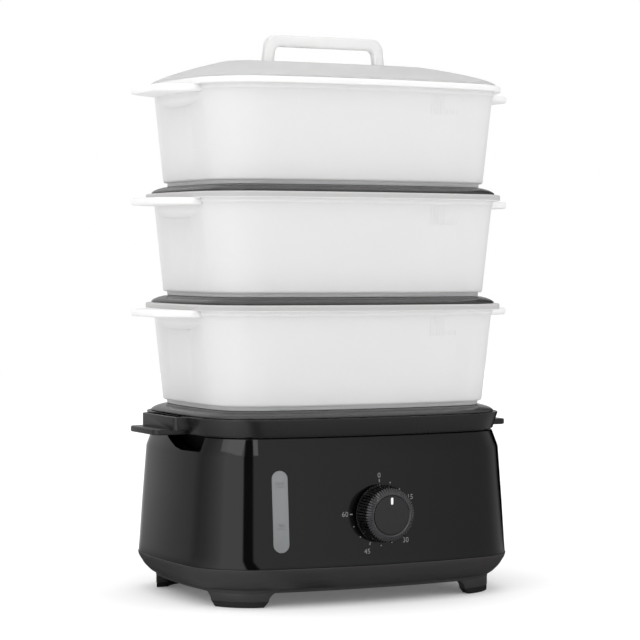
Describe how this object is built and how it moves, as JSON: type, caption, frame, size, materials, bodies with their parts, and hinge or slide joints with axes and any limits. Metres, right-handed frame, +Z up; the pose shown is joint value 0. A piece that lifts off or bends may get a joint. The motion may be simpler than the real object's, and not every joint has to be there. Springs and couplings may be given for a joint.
{
  "type": "food steamer",
  "caption": "Electric food steamer: black base with water level window and minute timer dial, a drip tray, and a tower of frosted baskets under a lid with an arch handle.",
  "frame": {"origin": "on the floor under the middle of the overall box", "axes": "+X along the long side to the right end as seen from the dial side, -Y out of the dial side, +Z up"},
  "size_m": [0.287, 0.2048, 0.405],
  "materials": {
    "housing": "moulded ABS with a gloss surface",
    "cover": "moulded polypropylene with a satin surface",
    "pad_rubber": "matt",
    "zinc_steel": "zinc plated",
    "tub": "moulded polypropylene",
    "window": "grey clear styrene",
    "white_print": "pad print",
    "silicone": "moulded silicone",
    "heater_plate": "cast and turned",
    "element": "heat-stained stainless sheath",
    "phenolic": "moulded phenolic",
    "fuse": "sleeved thermal fuse",
    "sleeve": "moulded polypropylene",
    "terminal": "moulded nylon",
    "lead_brown": "heat-resistant insulation",
    "lead_black": "heat-resistant insulation",
    "lead_blue": "heat-resistant insulation",
    "gland_rubber": "matt",
    "timer_case": "moulded acetal",
    "bell": "plated",
    "shaft": "ground",
    "knob": "moulded ABS with a gloss nose",
    "knob_cap": "satin",
    "tray": "moulded polypropylene with a satin surface",
    "floor_tray": "moulded polypropylene with a gloss edge",
    "frosted": "frosted translucent polypropylene",
    "frosted_lid": "frosted translucent polypropylene",
    "handle": "frosted translucent polypropylene"
  },
  "bodies": {
    "base": {"bottom_cover": "cover", "foot_pads": "pad_rubber", "cover_screws": "zinc_steel", "base_shell": "housing", "dial_scale": "white_print", "reservoir": "tub", "level_window": "window", "window_gasket": "silicone", "level_marks": "white_print", "heater_plate": "heater_plate", "heater_tube": "element", "heater_seal": "silicone", "heater_clamp": "zinc_steel", "clamp_screws": "zinc_steel", "thermostat": "phenolic", "thermal_fuse": "fuse", "steam_ring": "sleeve", "terminal_block": "terminal", "lead_line": "lead_brown", "lead_timer": "lead_black", "lead_neutral": "lead_blue", "cord_gland": "gland_rubber", "timer_frame": "zinc_steel", "timer_screws": "zinc_steel", "timer_case": "timer_case", "timer_bell": "bell"},
    "dial": {"timer_shaft": "shaft", "timer_knob": "knob", "knob_cap": "knob_cap", "knob_pointer": "white_print"},
    "drip_tray": {"drip_tray": "tray"},
    "floor_tray_1": {"floor_tray_1": "floor_tray"},
    "basket_1": {"basket_1": "frosted"},
    "floor_tray_2": {"floor_tray_2": "floor_tray"},
    "basket_2": {"basket_2": "frosted"},
    "floor_tray_3": {"floor_tray_3": "floor_tray"},
    "basket_3": {"basket_3": "frosted"},
    "lid": {"lid": "frosted_lid", "lid_handle": "handle"}
  },
  "joints": [
    {"name": "dial_turn", "type": "hinge", "parent": "base", "child": "dial", "pos_m": [0, -0.09, 0.0642], "axis": [0, 1, 0], "range_deg": [0, 270]},
    {"name": "drip_tray_lift", "type": "slide", "parent": "base", "child": "drip_tray", "axis": [0, 0, 1], "range_m": [0, 0.06]},
    {"name": "floor_tray_1_lift", "type": "slide", "parent": "drip_tray", "child": "floor_tray_1", "axis": [0, 0, 1], "range_m": [0, 0.04]},
    {"name": "basket_1_lift", "type": "slide", "parent": "floor_tray_1", "child": "basket_1", "axis": [0, 0, 1], "range_m": [0, 0.04]},
    {"name": "floor_tray_2_lift", "type": "slide", "parent": "basket_1", "child": "floor_tray_2", "axis": [0, 0, 1], "range_m": [0, 0.04]},
    {"name": "basket_2_lift", "type": "slide", "parent": "floor_tray_2", "child": "basket_2", "axis": [0, 0, 1], "range_m": [0, 0.04]},
    {"name": "floor_tray_3_lift", "type": "slide", "parent": "basket_2", "child": "floor_tray_3", "axis": [0, 0, 1], "range_m": [0, 0.04]},
    {"name": "basket_3_lift", "type": "slide", "parent": "floor_tray_3", "child": "basket_3", "axis": [0, 0, 1], "range_m": [0, 0.04]},
    {"name": "lid_lift", "type": "slide", "parent": "basket_3", "child": "lid", "axis": [0, 0, 1], "range_m": [0, 0.08]}
  ]
}
